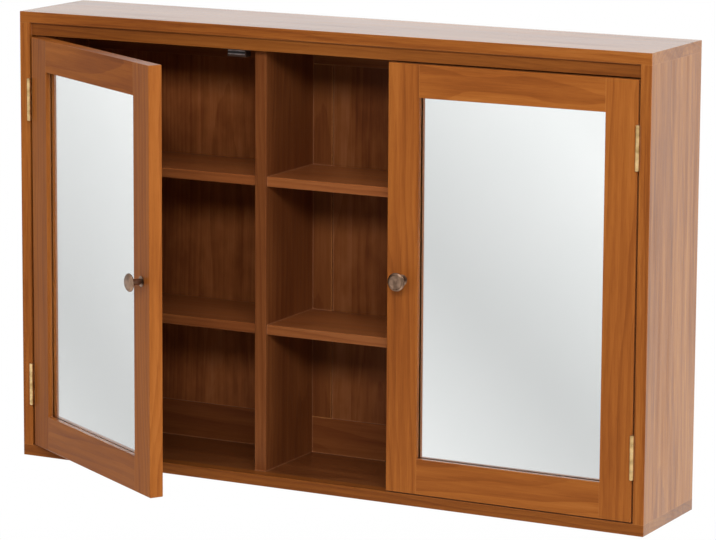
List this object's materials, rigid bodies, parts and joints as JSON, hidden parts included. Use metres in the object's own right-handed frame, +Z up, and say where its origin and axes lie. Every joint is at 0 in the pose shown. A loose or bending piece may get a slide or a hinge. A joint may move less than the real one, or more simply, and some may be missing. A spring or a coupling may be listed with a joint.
{
  "type": "bathroom mirror cabinet",
  "caption": "Wide wall-hung wooden bathroom cabinet with hinged framed mirror doors at both ends, an open shelved bay between them, and keyhole hangers at the back.",
  "frame": {"origin": "on the wall plane, at the rear face of the back's top rail, midway between the two keyhole entries", "axes": "+X to the cabinet's right as seen from the front, +Y into the wall, +Z up"},
  "size_m": [0.98, 0.3776, 0.65],
  "materials": {
    "lacquered_wood": "honey-brown hardwood under satin lacquer",
    "dowel_wood": "plain beech",
    "hardboard": "smooth brown hardboard",
    "mirror_glass": "silvered float glass",
    "hinge_brass": "satin brass plate",
    "knob_bronze": "dark antique bronze",
    "zinc_steel": "zinc-plated steel",
    "catch_plastic": "moulded brown plastic",
    "magnet": "dark ferrite block"
  },
  "bodies": {
    "cabinet": {"top_board": "lacquered_wood", "bottom_board": "lacquered_wood", "left_side": "lacquered_wood", "right_side": "lacquered_wood", "left_divider": "lacquered_wood", "right_divider": "lacquered_wood", "header_rail": "lacquered_wood", "left_upper_shelf": "lacquered_wood", "left_lower_shelf": "lacquered_wood", "centre_upper_shelf": "lacquered_wood", "centre_lower_shelf": "lacquered_wood", "right_upper_shelf": "lacquered_wood", "right_lower_shelf": "lacquered_wood", "back_top_rail": "lacquered_wood", "back_bottom_rail": "lacquered_wood", "back_left_stile": "lacquered_wood", "back_right_stile": "lacquered_wood", "back_left_muntin": "lacquered_wood", "back_right_muntin": "lacquered_wood", "back_left_panel": "lacquered_wood", "back_centre_panel": "lacquered_wood", "back_right_panel": "lacquered_wood", "case_dowels": "dowel_wood", "hanger_plates": "zinc_steel", "hanger_screws": "zinc_steel", "left_catch_housing": "catch_plastic", "right_catch_housing": "catch_plastic", "catch_pole_plates": "zinc_steel", "catch_magnets": "magnet", "catch_screws": "zinc_steel", "left_case_leaves": "hinge_brass", "right_case_leaves": "hinge_brass", "left_case_leaf_screws": "hinge_brass", "right_case_leaf_screws": "hinge_brass", "hinge_pins": "hinge_brass"},
    "left_door": {"left_door_hinge_stile": "lacquered_wood", "left_door_free_stile": "lacquered_wood", "left_door_top_rail": "lacquered_wood", "left_door_bottom_rail": "lacquered_wood", "left_mirror": "mirror_glass", "left_mirror_backing": "hardboard", "left_mirror_beads": "lacquered_wood", "left_knob": "knob_bronze", "left_knob_screw": "zinc_steel", "left_door_leaves": "hinge_brass", "left_door_screws": "hinge_brass", "left_strike_plate": "zinc_steel"},
    "right_door": {"right_door_hinge_stile": "lacquered_wood", "right_door_free_stile": "lacquered_wood", "right_door_top_rail": "lacquered_wood", "right_door_bottom_rail": "lacquered_wood", "right_mirror": "mirror_glass", "right_mirror_backing": "hardboard", "right_mirror_beads": "lacquered_wood", "right_knob": "knob_bronze", "right_knob_screw": "zinc_steel", "right_door_leaves": "hinge_brass", "right_door_screws": "hinge_brass", "right_strike_plate": "zinc_steel"}
  },
  "joints": [
    {"name": "left_door_hinge", "type": "hinge", "parent": "cabinet", "child": "left_door", "pos_m": [-0.4729, -0.1736, -0.292], "axis": [0, 0, -1], "range_deg": [-32, 143]},
    {"name": "right_door_hinge", "type": "hinge", "parent": "cabinet", "child": "right_door", "pos_m": [0.4729, -0.1736, -0.292], "axis": [0, 0, 1], "range_deg": [0, 175]}
  ]
}
